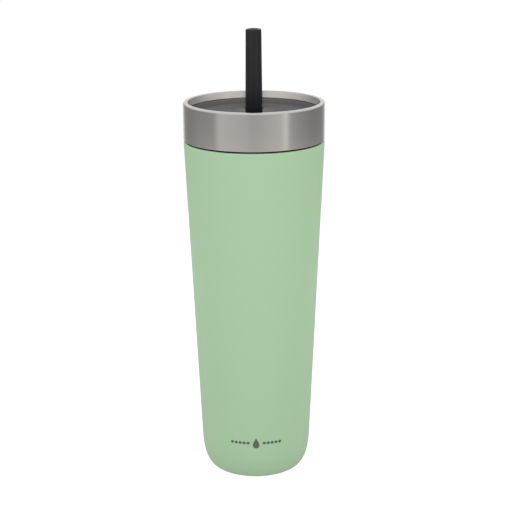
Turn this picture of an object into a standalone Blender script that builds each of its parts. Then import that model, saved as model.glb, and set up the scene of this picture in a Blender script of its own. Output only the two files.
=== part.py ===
"""Insulated straw tumbler: a double-walled steel vessel, a screw-on lid with a steel band, and a straw.

Metres, +Z up. The origin is on the floor at the centre of the foot, and every turned piece is coaxial
with Z, which is also the axis that the lid screws about and that the straw pulls out along.
Pieces that touch in the real object stand GAP apart here.
"""

import math

import bmesh
import bpy

GAP = 0.0003
SEGMENTS = 48
SMALL_SEGMENTS = 24
MERGE_DISTANCE = 0.000001
SMOOTH_ANGLE = math.radians(30)

# Painted outer shell
RIM_Z = 0.2163
RIM_RADIUS = 0.044
RIM_ROUND = 0.0009
BODY_TAPER = 0.0447
BASE_CURVE_RADIAL = 0.0074
BASE_CURVE_HEIGHT = 0.021
BASE_CURVE_POWER = 2.3
SHELL_WALL = 0.0005
FOOT_INNER_RADIUS = 0.0236
FOOT_LIP_HEIGHT = 0.0032

# Steel liner
VACUUM_GAP = 0.003
LINER_WALL = 0.0004
LINER_FLOOR_Z = 0.011
LINER_CURVE_RADIAL = 0.010
LINER_CURVE_HEIGHT = 0.014
LINER_CURVE_STEPS = 6
LINER_WELD_STEP = 2
MOUTH_RADIUS = 0.0388
NECK_FOOT_Z = 0.186
NECK_Z = 0.190
LEDGE_Z = 0.21345
LIP_INNER_RADIUS = 0.0419
LIP_OUTER_RADIUS = 0.04265
LIP_TOP_Z = 0.21595
LIP_CHAMFER = 0.00025
FOIL_THICKNESS = 0.0003
FOIL_SPAN_Z = (0.030, 0.184)

# Pieces in and under the vessel's bottom
BOTTOM_Z = 0.0022
BOTTOM_DIMPLE_RADIUS = 0.008
BOTTOM_DIMPLE_RISE = 0.0014
PORT_RADIUS = 0.0016
PORT_HEAD_RADIUS = 0.003
PORT_TIP_RADIUS = 0.0021
BASE_DISC_RADIUS = 0.020
BASE_DISC_Z = (0.0012, 0.0019)
GETTER_RADIUS = 0.0062
GETTER_THICKNESS = 0.0014
HOLDER_WALL = 0.0006
HOLDER_FLANGE = 0.002

# Thread between the lid's plug and the vessel's mouth: right-handed, two starts
THREAD_LEAD = 0.008
THREAD_STARTS = 2
THREAD_TURN = math.radians(144)
THREAD_FADE = math.radians(18)
THREAD_WIDTH = 0.0026
THREAD_ROW = 0.0012
PLUG_THREAD_Z = 0.2013
PLUG_THREAD_HEIGHT = 0.0009
MOUTH_THREAD_HEIGHT = 0.0006

# Lid
RING_RADIUS = 0.044
RING_WALL = 0.0009
RING_BOTTOM_Z = 0.21735
RING_TOP_Z = 0.24065
RING_OUTER_ROUND = 0.0018
RING_FLAT = 0.0008
RING_INNER_ROUND = 0.00035
RING_CONE_ANGLE = math.radians(74)
RING_HEM = 0.0003
RING_BACK_CHAMFER = 0.0006
RING_LIP_RADIUS = 0.03995
RING_LIP_Z = 0.2356
PLATE_Z = 0.2363
PLATE_CHAMFER = 0.0003
PLATE_THICKNESS = 0.0024
PLATE_STEP_RADIUS = 0.0407
FLANGE_RADIUS = 0.0428
FLANGE_THICKNESS = 0.00205
PLUG_RADIUS = 0.037
PLUG_WALL = 0.0018
PLUG_FLOOR_Z = 0.197
PLUG_CHAMFER = 0.001
HOUSING_LEDGE_RADIUS = 0.0395
HOUSING_TOP_Z = 0.2349
CHIMNEY_RADIUS = 0.0074
CHIMNEY_BORE = 0.0059
CHIMNEY_THROAT = 0.0046
GROMMET_HEIGHT = 0.0097
GASKET_ROUND = 0.0004
VENT_Y = 0.022
VENT_HOLE_RADIUS = 0.0018
VENT_SEGMENTS = 16
VALVE_FLAP_RADIUS = 0.004
VALVE_FLAP_EDGE = 0.0003
VALVE_CROWN_RADIUS = 0.0024
VALVE_CROWN_HEIGHT = 0.001
VALVE_HEIGHT = 0.0012
VALVE_BARB_RADIUS = 0.0023
VALVE_BARB_HEIGHT = 0.0014

# Straw
STRAW_TOP_Z = 0.285
STRAW_TOP_RADIUS = 0.00485
STRAW_PLATE_RADIUS = 0.0053
STRAW_BORE = 0.0028
STRAW_TOP_ROUND = 0.0009
STRAW_SHOULDER_Z = 0.228
STRAW_SOCKET_TOP_Z = 0.241
TUBE_RADIUS = 0.004
TUBE_END_Z = 0.016


def clear_scene():
    for item in list(bpy.data.objects):
        bpy.data.objects.remove(item, do_unlink=True)


def arc(centre, radius, start, end, steps):
    """Points along an arc of the section, with angles in degrees from the +radius direction."""
    angles = [math.radians(start + (end - start) * step / steps) for step in range(steps + 1)]
    return [(centre[0] + radius * math.cos(a), centre[1] + radius * math.sin(a)) for a in angles]


def offset(points, distance):
    """The section polyline moved sideways by distance, to the left of the way it runs."""
    moved = []
    for index, (radius, height) in enumerate(points):
        before = points[max(index - 1, 0)]
        after = points[min(index + 1, len(points) - 1)]
        run, rise = after[0] - before[0], after[1] - before[1]
        length = math.hypot(run, rise)
        moved.append((radius - rise / length * distance, height + run / length * distance))
    return moved


def material(name, colour, metallic, roughness):
    made = bpy.data.materials.new(name)
    made.use_nodes = True
    shader = made.node_tree.nodes["Principled BSDF"]
    shader.inputs["Base Color"].default_value = (*colour, 1)
    shader.inputs["Metallic"].default_value = metallic
    shader.inputs["Roughness"].default_value = roughness
    made.diffuse_color = (*colour, 1)
    return made


SAGE_PAINT = ((0.39, 0.58, 0.37), 0.0, 0.42)
BRUSHED_STEEL = ((0.56, 0.54, 0.52), 1.0, 0.32)
BARE_STEEL = ((0.62, 0.61, 0.60), 1.0, 0.25)
ALUMINIUM_FOIL = ((0.80, 0.80, 0.81), 1.0, 0.30)
GETTER_ALLOY = ((0.20, 0.20, 0.21), 0.6, 0.70)
SEALING_GLASS = ((0.16, 0.18, 0.17), 0.0, 0.15)
BLACK_PLASTIC = ((0.012, 0.012, 0.013), 0.0, 0.30)
BLACK_SILICONE = ((0.016, 0.016, 0.017), 0.0, 0.60)


def axis_empty(name, height):
    """An empty on the Z axis that a group of pieces hangs from."""
    empty = bpy.data.objects.new(name, None)
    empty.location.z = height
    bpy.context.scene.collection.objects.link(empty)
    return empty


def turned(name, outline, finish, parent, segments=SEGMENTS, reshape=None, shift_y=0.0):
    """A turned piece from a section outline of (radius, height) points.

    An outline whose ends lie on the axis stays open there; any other is closed. The object's origin is
    on the piece's own axis at its lowest point. reshape(point) returns a moved copy of each point.
    """
    seat = min(height for _, height in outline)
    shape = bmesh.new()
    points = [shape.verts.new((radius, 0, height)) for radius, height in outline]
    edges = [shape.edges.new(pair) for pair in zip(points, points[1:])]
    if outline[0][0] > 0:
        edges.append(shape.edges.new((points[-1], points[0])))
    bmesh.ops.spin(
        shape, geom=points + edges, cent=(0, 0, 0), axis=(0, 0, 1),
        angle=2 * math.pi, steps=segments, use_merge=True,
    )
    bmesh.ops.remove_doubles(shape, verts=shape.verts, dist=MERGE_DISTANCE)
    if reshape:
        for point in shape.verts:
            point.co = reshape(point.co)
    bmesh.ops.translate(shape, verts=shape.verts, vec=(0, 0, -seat))
    bmesh.ops.recalc_face_normals(shape, faces=shape.faces)
    mesh = bpy.data.meshes.new(name)
    shape.to_mesh(mesh)
    shape.free()
    mesh.shade_smooth()
    mesh.set_sharp_from_angle(angle=SMOOTH_ANGLE)
    mesh.materials.append(material(name, *finish))
    piece = bpy.data.objects.new(name, mesh)
    piece.parent = parent
    piece.location = (0, shift_y, seat - parent.location.z)
    bpy.context.scene.collection.objects.link(piece)
    return piece


def taper_radius(height):
    """Radius of the body's straight taper, as if it ran on to the floor."""
    return RIM_RADIUS - (RIM_Z - height) * BODY_TAPER


def base_curve(floor, radial, rise, steps):
    """(radius lost, height) pairs along a soft base corner, a quarter of a superellipse."""
    found = []
    for step in range(steps + 1):
        angle = math.pi / 2 * step / steps
        across = math.sin(angle) ** (2 / BASE_CURVE_POWER)
        up = 1 - abs(math.cos(angle)) ** (2 / BASE_CURVE_POWER)
        found.append((radial * (1 - across), floor + rise * up))
    return found


def thread_bump(point, foot_z, bump):
    """How far the thread ridge stands out at this point: each start climbs THREAD_LEAD a turn."""
    angle = math.atan2(point.y, point.x)
    tallest = 0.0
    for start in range(THREAD_STARTS):
        along = (angle - start * 2 * math.pi / THREAD_STARTS) % (2 * math.pi)
        if along > THREAD_TURN:
            continue
        centre = foot_z + along / (2 * math.pi) * THREAD_LEAD
        across = (point.z - centre) / (THREAD_WIDTH / 2)
        fade = min(1.0, along / THREAD_FADE, (THREAD_TURN - along) / THREAD_FADE)
        if abs(across) < 1:
            tallest = max(tallest, bump * fade * math.cos(across * math.pi / 2))
    return tallest


def on_wall(point, radius):
    return abs(math.hypot(point.x, point.y) - radius) < MERGE_DISTANCE * 10


def threaded(wall_radius, foot_z, bump):
    """A reshape function that raises the thread on the wall of this radius: bump > 0 is outward."""
    def reshape(point):
        if not on_wall(point, wall_radius):
            return point.copy()
        out = thread_bump(point, foot_z, abs(bump)) * math.copysign(1, bump)
        scale = (wall_radius + out) / wall_radius
        moved = point.copy()
        moved.x *= scale
        moved.y *= scale
        return moved
    return reshape


def thread_rows(radius, foot_z):
    """Points up a wall, close enough together to carry the thread."""
    climb = THREAD_TURN / (2 * math.pi) * THREAD_LEAD + THREAD_WIDTH
    rows = math.ceil(climb / THREAD_ROW)
    low = foot_z - THREAD_WIDTH / 2
    return [(radius, low + climb * row / rows) for row in range(rows + 1)]


def shell_side():
    """The shell's outer side from the floor to the rim's rounding."""
    side = [
        (taper_radius(height) - lost, height)
        for lost, height in base_curve(0.0, BASE_CURVE_RADIAL, BASE_CURVE_HEIGHT, 7)
    ]
    shoulder = RIM_Z - RIM_ROUND
    return side + [(taper_radius(shoulder), shoulder)]


def make_outer_shell(parent):
    """The painted shell: rounded rim, tapered side, soft base and a lip turned up inside the foot."""
    side = shell_side()
    rim_centre = (side[-1][0] - RIM_ROUND, RIM_Z - RIM_ROUND)
    rim = arc(rim_centre, RIM_ROUND, 0, 90, 4)[1:] + arc(rim_centre, RIM_ROUND - SHELL_WALL, 90, 0, 2)[:-1]
    inside = offset(side, SHELL_WALL)
    inside[0] = (side[0][0], SHELL_WALL)
    foot = [
        (FOOT_INNER_RADIUS + SHELL_WALL, SHELL_WALL),
        (FOOT_INNER_RADIUS + SHELL_WALL, FOOT_LIP_HEIGHT),
        (FOOT_INNER_RADIUS, FOOT_LIP_HEIGHT),
        (FOOT_INNER_RADIUS, 0.0),
    ]
    return turned("outer_shell", side + rim + inside[::-1] + foot, SAGE_PAINT, parent)


def liner_curve():
    """The liner's soft inner corner, from the edge of its flat floor up to its straight side."""
    inset = SHELL_WALL + VACUUM_GAP + LINER_WALL
    corner = base_curve(LINER_FLOOR_Z, LINER_CURVE_RADIAL, LINER_CURVE_HEIGHT, LINER_CURVE_STEPS)
    return [(taper_radius(height) - inset - lost, height) for lost, height in corner]


def make_liner_bottom(parent):
    """The dished bottom welded into the liner."""
    inside = [(0.0, LINER_FLOOR_Z)] + liner_curve()[:LINER_WELD_STEP + 1]
    outside = offset(inside, -LINER_WALL)
    outside[0] = (0.0, LINER_FLOOR_Z - LINER_WALL)
    return turned("liner_bottom", inside + outside[::-1], BARE_STEEL, parent)


def make_inner_liner(parent):
    """The steel liner: tapered bowl, threaded neck, gasket ledge and the lip at the rim."""
    curve = liner_curve()[LINER_WELD_STEP:]
    run, rise = curve[1][0] - curve[0][0], curve[1][1] - curve[0][1]
    step = GAP / math.hypot(run, rise)
    curve[0] = (curve[0][0] + run * step, curve[0][1] + rise * step)
    inset = SHELL_WALL + VACUUM_GAP + LINER_WALL
    side = curve + [(taper_radius(NECK_FOOT_Z) - inset, NECK_FOOT_Z)]
    thread_z = PLUG_THREAD_Z + THREAD_LEAD / THREAD_STARTS / 2
    neck = [(MOUTH_RADIUS, NECK_Z)] + thread_rows(MOUTH_RADIUS, thread_z) + [(MOUTH_RADIUS, LEDGE_Z)]
    lip = [
        (LIP_INNER_RADIUS, LEDGE_Z),
        (LIP_INNER_RADIUS, LIP_TOP_Z - LIP_CHAMFER),
        (LIP_INNER_RADIUS + LIP_CHAMFER, LIP_TOP_Z),
        (LIP_OUTER_RADIUS - LIP_CHAMFER, LIP_TOP_Z),
        (LIP_OUTER_RADIUS, LIP_TOP_Z - LIP_CHAMFER),
        (LIP_OUTER_RADIUS, LEDGE_Z - LINER_WALL),
        (MOUTH_RADIUS + LINER_WALL, LEDGE_Z - LINER_WALL),
        (MOUTH_RADIUS + LINER_WALL, NECK_Z),
    ]
    outside = offset(side, -LINER_WALL)
    return turned(
        "inner_liner", side + neck + lip + outside[::-1], BARE_STEEL, parent,
        reshape=threaded(MOUTH_RADIUS, thread_z, -MOUTH_THREAD_HEIGHT),
    )


def make_liner_foil(parent):
    """Radiation foil wrapped round the liner inside the vacuum."""
    inset = SHELL_WALL + VACUUM_GAP - GAP
    low, high = FOIL_SPAN_Z
    inner = [(taper_radius(low) - inset, low), (taper_radius(high) - inset, high)]
    outer = [(radius + FOIL_THICKNESS, height) for radius, height in inner]
    return turned("liner_foil", outer + inner[::-1], ALUMINIUM_FOIL, parent)


def make_getter(parent):
    """The getter pellet and the stamped cup that holds it under the liner."""
    flange_top = LINER_FLOOR_Z - LINER_WALL - GAP
    pellet_low = flange_top - GETTER_THICKNESS
    cup_low = pellet_low - GAP - HOLDER_WALL
    cup_bore = GETTER_RADIUS + GAP
    cup = [
        (0.0, cup_low),
        (cup_bore + HOLDER_WALL, cup_low),
        (cup_bore + HOLDER_WALL, flange_top - HOLDER_WALL),
        (cup_bore + HOLDER_WALL + HOLDER_FLANGE, flange_top - HOLDER_WALL),
        (cup_bore + HOLDER_WALL + HOLDER_FLANGE, flange_top),
        (cup_bore, flange_top),
        (cup_bore, cup_low + HOLDER_WALL),
        (0.0, cup_low + HOLDER_WALL),
    ]
    pellet = [
        (0.0, pellet_low),
        (GETTER_RADIUS, pellet_low),
        (GETTER_RADIUS, flange_top),
        (0.0, flange_top),
    ]
    turned("getter_holder", cup, BARE_STEEL, parent, SMALL_SEGMENTS)
    turned("getter", pellet, GETTER_ALLOY, parent, SMALL_SEGMENTS)


def make_bottom(parent):
    """The shell's welded bottom with its port, the bead that seals the port, and the cover disc."""
    edge = FOOT_INNER_RADIUS - GAP
    dimple_z = BOTTOM_Z + BOTTOM_DIMPLE_RISE
    slope = BOTTOM_DIMPLE_RISE
    plate = [
        (PORT_RADIUS, dimple_z),
        (BOTTOM_DIMPLE_RADIUS - slope, dimple_z),
        (BOTTOM_DIMPLE_RADIUS, BOTTOM_Z),
        (edge, BOTTOM_Z),
        (edge, BOTTOM_Z + SHELL_WALL),
        (BOTTOM_DIMPLE_RADIUS + SHELL_WALL / 2, BOTTOM_Z + SHELL_WALL),
        (BOTTOM_DIMPLE_RADIUS + SHELL_WALL / 2 - slope, dimple_z + SHELL_WALL),
        (PORT_RADIUS, dimple_z + SHELL_WALL),
    ]
    turned("shell_bottom", plate, BARE_STEEL, parent)
    head_top = dimple_z - GAP
    bead = [
        (0.0, BASE_DISC_Z[1] + GAP),
        (PORT_TIP_RADIUS, BASE_DISC_Z[1] + GAP),
        (PORT_HEAD_RADIUS, head_top - GAP),
        (PORT_HEAD_RADIUS, head_top),
        (PORT_RADIUS - GAP, head_top),
        (PORT_RADIUS - GAP, dimple_z + SHELL_WALL),
        (0.0, dimple_z + SHELL_WALL + GAP),
    ]
    turned("vacuum_plug", bead, SEALING_GLASS, parent, SMALL_SEGMENTS)
    low, high = BASE_DISC_Z
    disc = [
        (0.0, low),
        (BASE_DISC_RADIUS - GAP, low),
        (BASE_DISC_RADIUS, low + GAP),
        (BASE_DISC_RADIUS, high),
        (0.0, high),
    ]
    turned("base_disc", disc, SAGE_PAINT, parent)


def make_lid_gasket(parent):
    """The silicone ring between the lid's flange and the ledge inside the vessel's rim."""
    inner, outer = PLUG_RADIUS + GAP, LIP_INNER_RADIUS - GAP
    low, high = LEDGE_Z + GAP, RIM_Z
    section = []
    for centre, start in (
        ((outer - GASKET_ROUND, low + GASKET_ROUND), -90),
        ((outer - GASKET_ROUND, high - GASKET_ROUND), 0),
        ((inner + GASKET_ROUND, high - GASKET_ROUND), 90),
        ((inner + GASKET_ROUND, low + GASKET_ROUND), 180),
    ):
        section += arc(centre, GASKET_ROUND, start, start + 90, 1)
    return turned("lid_gasket", section, BLACK_SILICONE, parent)


def make_straw_grommet(parent):
    """The silicone bush in the lid's chimney that the straw's shoulder seats on."""
    low = STRAW_SHOULDER_Z - GAP - GROMMET_HEIGHT
    bore, outer = TUBE_RADIUS + GAP, CHIMNEY_BORE - GAP
    section = [(outer, low), (outer, low + GROMMET_HEIGHT), (bore, low + GROMMET_HEIGHT), (bore, low)]
    return turned("straw_grommet", section, BLACK_SILICONE, parent, SMALL_SEGMENTS)


def make_lid_ring(parent):
    """The brushed steel band: straight outside, rolled over the top, then a cone down to its lip."""
    roll_radius = RING_RADIUS - RING_OUTER_ROUND
    outer_roll = arc((roll_radius, RING_TOP_Z - RING_OUTER_ROUND), RING_OUTER_ROUND, 0, 90, 4)
    cone_start = 90 + math.degrees(RING_CONE_ANGLE)
    crest = (roll_radius - RING_FLAT, RING_TOP_Z - RING_INNER_ROUND)
    inner_roll = arc(crest, RING_INNER_ROUND, 90, cone_start, 2)
    slope = math.tan(RING_CONE_ANGLE)
    cone_foot_z = RING_LIP_Z + RING_WALL
    cone_foot = (inner_roll[-1][0] - (inner_roll[-1][1] - cone_foot_z) / slope, cone_foot_z)
    back = offset([cone_foot, inner_roll[-1]], -RING_WALL)
    bore = RING_RADIUS - RING_WALL
    ceiling_z = RING_TOP_Z - RING_WALL
    section = [(bore, RING_BOTTOM_Z), (RING_RADIUS - RING_HEM, RING_BOTTOM_Z)]
    section += [(RING_RADIUS, RING_BOTTOM_Z + RING_HEM)] + outer_roll + inner_roll
    section += [cone_foot, (RING_LIP_RADIUS, cone_foot_z - RING_HEM), (RING_LIP_RADIUS, RING_LIP_Z)]
    section += [(back[0][0], RING_LIP_Z), back[0]]
    section += [(back[0][0] + (ceiling_z - back[0][1]) / slope, ceiling_z)]
    section += [(bore - RING_BACK_CHAMFER, ceiling_z), (bore, ceiling_z - RING_BACK_CHAMFER)]
    return turned("lid_ring", section, BRUSHED_STEEL, parent)


def make_lid_top(parent):
    """The recessed plate, whose stepped edge is trapped under the steel band's lip."""
    hole = STRAW_PLATE_RADIUS + GAP
    edge = RING_LIP_RADIUS - GAP
    step_z = RING_LIP_Z - GAP
    section = [
        (hole, PLATE_Z - PLATE_THICKNESS),
        (PLATE_STEP_RADIUS, PLATE_Z - PLATE_THICKNESS),
        (PLATE_STEP_RADIUS, step_z),
        (edge, step_z),
        (edge, PLATE_Z - PLATE_CHAMFER),
        (edge - PLATE_CHAMFER, PLATE_Z),
        (hole + PLATE_CHAMFER, PLATE_Z),
        (hole, PLATE_Z - PLATE_CHAMFER),
    ]
    return turned("lid_top", section, BLACK_PLASTIC, parent)


def vent_cutter(parent):
    """A drill for the vent hole in the plug's floor."""
    low, high = PLUG_FLOOR_Z - PLUG_WALL, PLUG_FLOOR_Z + 2 * PLUG_WALL
    section = [(0.0, low), (VENT_HOLE_RADIUS, low), (VENT_HOLE_RADIUS, high), (0.0, high)]
    drill = turned("vent_drill", section, BLACK_PLASTIC, parent, VENT_SEGMENTS, shift_y=VENT_Y)
    drill.hide_render = True
    drill.display_type = "WIRE"
    return drill


def make_lid_base(parent):
    """The lid's housing: threaded plug, flange over the rim, wall inside the band, straw chimney."""
    flange_z = RIM_Z + GAP
    ledge_z = PLATE_Z - PLATE_THICKNESS - GAP
    floor_top = PLUG_FLOOR_Z + PLUG_WALL
    flange_top = flange_z + FLANGE_THICKNESS
    plug_bore = PLUG_RADIUS - PLUG_WALL
    seat_z = STRAW_SHOULDER_Z - GAP - GROMMET_HEIGHT - GAP
    section = [(CHIMNEY_THROAT, PLUG_FLOOR_Z), (PLUG_RADIUS - PLUG_CHAMFER, PLUG_FLOOR_Z)]
    section += [(PLUG_RADIUS, PLUG_FLOOR_Z + PLUG_CHAMFER)]
    section += thread_rows(PLUG_RADIUS, PLUG_THREAD_Z)
    section += [
        (PLUG_RADIUS, flange_z),
        (FLANGE_RADIUS, flange_z),
        (FLANGE_RADIUS, HOUSING_TOP_Z),
        (PLATE_STEP_RADIUS + GAP, HOUSING_TOP_Z),
        (PLATE_STEP_RADIUS + GAP, ledge_z),
        (HOUSING_LEDGE_RADIUS, ledge_z),
        (HOUSING_LEDGE_RADIUS, flange_top),
        (plug_bore, flange_top),
        (plug_bore, floor_top),
        (CHIMNEY_RADIUS, floor_top),
        (CHIMNEY_RADIUS, ledge_z),
        (CHIMNEY_BORE, ledge_z),
        (CHIMNEY_BORE, seat_z),
        (CHIMNEY_THROAT, seat_z),
    ]
    base = turned(
        "lid_base", section, BLACK_PLASTIC, parent,
        reshape=threaded(PLUG_RADIUS, PLUG_THREAD_Z, PLUG_THREAD_HEIGHT),
    )
    hole = base.modifiers.new("vent_hole", "BOOLEAN")
    hole.operation = "DIFFERENCE"
    hole.object = vent_cutter(parent)


def make_vent_valve(parent):
    """The silicone umbrella valve that lets air into the vessel as it is drunk from."""
    stem = VENT_HOLE_RADIUS - GAP
    flap_top = PLUG_FLOOR_Z - GAP
    barb_low = PLUG_FLOOR_Z + PLUG_WALL + GAP
    section = [
        (0.0, flap_top - VALVE_HEIGHT),
        (VALVE_CROWN_RADIUS, flap_top - VALVE_CROWN_HEIGHT),
        (VALVE_FLAP_RADIUS, flap_top - VALVE_FLAP_EDGE),
        (VALVE_FLAP_RADIUS, flap_top),
        (stem, flap_top),
        (stem, barb_low),
        (VALVE_BARB_RADIUS, barb_low),
        (stem, barb_low + VALVE_BARB_HEIGHT),
        (0.0, barb_low + VALVE_BARB_HEIGHT),
    ]
    return turned("vent_valve", section, BLACK_SILICONE, parent, VENT_SEGMENTS, shift_y=VENT_Y)


def make_mouthpiece(parent):
    """The tapered mouthpiece, with a socket in its foot for the tube."""
    round_z = STRAW_TOP_Z - STRAW_TOP_ROUND
    socket = TUBE_RADIUS + GAP
    chamfer = STRAW_TOP_ROUND / 3
    section = [(STRAW_PLATE_RADIUS, STRAW_SHOULDER_Z), (STRAW_PLATE_RADIUS, PLATE_Z)]
    section += arc((STRAW_TOP_RADIUS - STRAW_TOP_ROUND, round_z), STRAW_TOP_ROUND, 0, 90, 3)
    section += [
        (STRAW_BORE + chamfer, STRAW_TOP_Z),
        (STRAW_BORE, STRAW_TOP_Z - chamfer),
        (STRAW_BORE, STRAW_SOCKET_TOP_Z),
        (socket, STRAW_SOCKET_TOP_Z),
        (socket, STRAW_SHOULDER_Z),
    ]
    return turned("mouthpiece", section, BLACK_PLASTIC, parent, SMALL_SEGMENTS)


def make_straw_tube(parent):
    """The plain tube that reaches from the mouthpiece to just above the liner's floor."""
    top = STRAW_SOCKET_TOP_Z - GAP
    section = [(TUBE_RADIUS, TUBE_END_Z), (TUBE_RADIUS, top), (STRAW_BORE, top), (STRAW_BORE, TUBE_END_Z)]
    return turned("straw_tube", section, BLACK_PLASTIC, parent, SMALL_SEGMENTS)


def main():
    clear_scene()
    vessel = axis_empty("vessel_axis", 0.0)
    lid = axis_empty("lid_axis", RIM_Z)
    straw = axis_empty("straw_axis", STRAW_SHOULDER_Z)
    for make in (make_outer_shell, make_inner_liner, make_liner_bottom, make_liner_foil):
        make(vessel)
    for make in (make_getter, make_bottom):
        make(vessel)
    for make in (make_lid_gasket, make_straw_grommet, make_lid_ring, make_lid_top):
        make(lid)
    for make in (make_lid_base, make_vent_valve):
        make(lid)
    for make in (make_mouthpiece, make_straw_tube):
        make(straw)


main()
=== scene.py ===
import math

import bmesh
import bpy
from mathutils import Matrix, Vector


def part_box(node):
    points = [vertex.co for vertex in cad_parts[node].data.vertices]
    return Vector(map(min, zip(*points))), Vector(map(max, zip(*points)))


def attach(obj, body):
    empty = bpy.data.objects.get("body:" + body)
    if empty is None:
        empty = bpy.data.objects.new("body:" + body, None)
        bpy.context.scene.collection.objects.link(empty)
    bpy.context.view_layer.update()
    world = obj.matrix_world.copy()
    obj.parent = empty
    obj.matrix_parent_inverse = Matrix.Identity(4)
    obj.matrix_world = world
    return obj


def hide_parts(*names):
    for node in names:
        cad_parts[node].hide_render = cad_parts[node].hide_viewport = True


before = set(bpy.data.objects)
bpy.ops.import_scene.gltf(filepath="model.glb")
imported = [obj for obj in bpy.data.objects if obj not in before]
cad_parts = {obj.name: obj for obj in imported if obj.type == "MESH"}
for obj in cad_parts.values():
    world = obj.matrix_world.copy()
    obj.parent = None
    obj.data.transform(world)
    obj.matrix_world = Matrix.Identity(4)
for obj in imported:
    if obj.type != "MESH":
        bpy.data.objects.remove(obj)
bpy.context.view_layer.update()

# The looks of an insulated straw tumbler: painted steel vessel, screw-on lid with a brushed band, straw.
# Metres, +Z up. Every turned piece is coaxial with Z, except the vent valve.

SEGMENTS = 192
SMALL_SEGMENTS = 96
SMOOTH_ANGLE = math.radians(32)
GAP = 0.0003

# Vessel
RIM_ROUND = 0.0009
BODY_TAPER = 0.0447
BASE_CURVE_RADIAL = 0.0074
BASE_CURVE_HEIGHT = 0.021
BASE_CURVE_POWER = 2.3
SHELL_WALL = 0.0005
FOOT_INNER_RADIUS = 0.0236
FOOT_LIP_HEIGHT = 0.0032
VACUUM_GAP = 0.003
LINER_WALL = 0.0004
LINER_INSET = SHELL_WALL + VACUUM_GAP + LINER_WALL
LINER_CURVE_RADIAL = 0.010
LINER_CURVE_HEIGHT = 0.014
MOUTH_RADIUS = 0.0388
NECK_FOOT_Z = 0.186
NECK_Z = 0.190
LEDGE_Z = 0.21345
LIP_INNER_RADIUS = 0.0419
DIMPLE_RADIUS = 0.008
DIMPLE_RISE = 0.0014
PORT_RADIUS = 0.0016
BOTTOM_STEP_SHARE = 0.72
BOTTOM_STEP_RISE = 0.0003
BOTTOM_RIM_WIDTH = 0.0022
COVER_GROOVE_INNER_SHARE = 0.78
COVER_GROOVE_OUTER_SHARE = 0.84
COVER_GROOVE_DEPTH = 0.0002

# Screw thread, right-handed with two starts
THREAD_LEAD = 0.008
THREAD_STARTS = 2
THREAD_TURN = math.radians(144)
THREAD_FADE = math.radians(18)
THREAD_WIDTH = 0.0026
THREAD_ROW = 0.0003
PLUG_THREAD_Z = 0.2013
PLUG_THREAD_HEIGHT = 0.0009
MOUTH_THREAD_HEIGHT = 0.0006

# Lid
RING_WALL = 0.0009
RING_OUTER_ROUND = 0.0018
RING_FLAT = 0.0008
RING_INNER_ROUND = 0.00035
RING_CONE_ANGLE = math.radians(74)
RING_LIP_RADIUS = 0.03995
RING_LIP_Z = 0.2356
FLANGE_THICKNESS = 0.00205
PLUG_RADIUS = 0.037
PLUG_WALL = 0.0018
PLUG_CHAMFER = 0.001
PLUG_GROOVE_DEPTH = 0.0004
INNER_GROOVE = (0.0122, 0.0134)
OUTER_GROOVE = (PLUG_RADIUS - 0.0042, PLUG_RADIUS - 0.0030)
HOUSING_LEDGE_RADIUS = 0.0395
CHIMNEY_RADIUS = 0.0074
CHIMNEY_BORE = 0.0059
CHIMNEY_THROAT = 0.0046
VENT_HOLE_RADIUS = 0.0018
VALVE_CROWN_SHARE = 0.6
VALVE_BARB_SHARE = 1.3
SEAL_FIN_DEPTH = 0.0006
BUSH_RELIEF = 0.0004
BUSH_GROOVES = (0.72, 0.36)
PLATE_MARK_RADIUS = 0.0135
PLATE_MARK_WIDTH = 0.0009
PLATE_MARK_STARTS = (150, -20)
PLATE_MARK_SPAN = 50

# Straw
STRAW_TOP_RADIUS = 0.00485
STRAW_BORE = 0.0028
STRAW_TOP_ROUND = 0.0009
STRAW_SOCKET_TOP_Z = 0.241


# ---------------------------------------------------------------- shapes

def extent(node):
    """(radius, foot, top) of a piece turned about Z."""
    low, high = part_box(node)
    return high.x, low.z, high.z


def arc(centre, radius, start, end, steps):
    """Points along an arc of the section, with angles in degrees from the +radius direction."""
    angles = [math.radians(start + (end - start) * step / steps) for step in range(steps + 1)]
    return [(centre[0] + radius * math.cos(a), centre[1] + radius * math.sin(a)) for a in angles]


def offset(points, distance):
    """The section polyline moved sideways by distance, to the left of the way it runs."""
    moved = []
    for index, (radius, height) in enumerate(points):
        before = points[max(index - 1, 0)]
        after = points[min(index + 1, len(points) - 1)]
        run, rise = after[0] - before[0], after[1] - before[1]
        length = math.hypot(run, rise)
        moved.append((radius - rise / length * distance, height + run / length * distance))
    return moved


def rounded(corners, steps=6, closed=True):
    """Section outline from (radius, height, fillet) corners, with an arc wherever the fillet isn't 0."""
    outline = []
    count = len(corners)
    for index, (radius, height, fillet) in enumerate(corners):
        here = Vector((radius, height))
        if fillet <= 0 or (not closed and index in (0, count - 1)):
            outline.append((radius, height))
            continue
        before = Vector(corners[index - 1][:2]) - here
        after = Vector(corners[(index + 1) % count][:2]) - here
        half = before.angle(after) / 2
        reach = min(fillet / math.tan(half), before.length * 0.45, after.length * 0.45)
        first, last = before.normalized(), after.normalized()
        centre = here + (first + last).normalized() * (reach / math.cos(half))
        start, end = here + first * reach - centre, here + last * reach - centre
        turn = start.angle_signed(end)
        for step in range(steps + 1):
            spoke = start.copy()
            spoke.rotate(Matrix.Rotation(-turn * step / steps, 2))
            outline.append(tuple(centre + spoke))
    return outline


def rows(start, end, count):
    """Points evenly spaced between two section points, both left out."""
    return [
        tuple(start[axis] + (end[axis] - start[axis]) * step / count for axis in (0, 1))
        for step in range(1, count)
    ]


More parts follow.
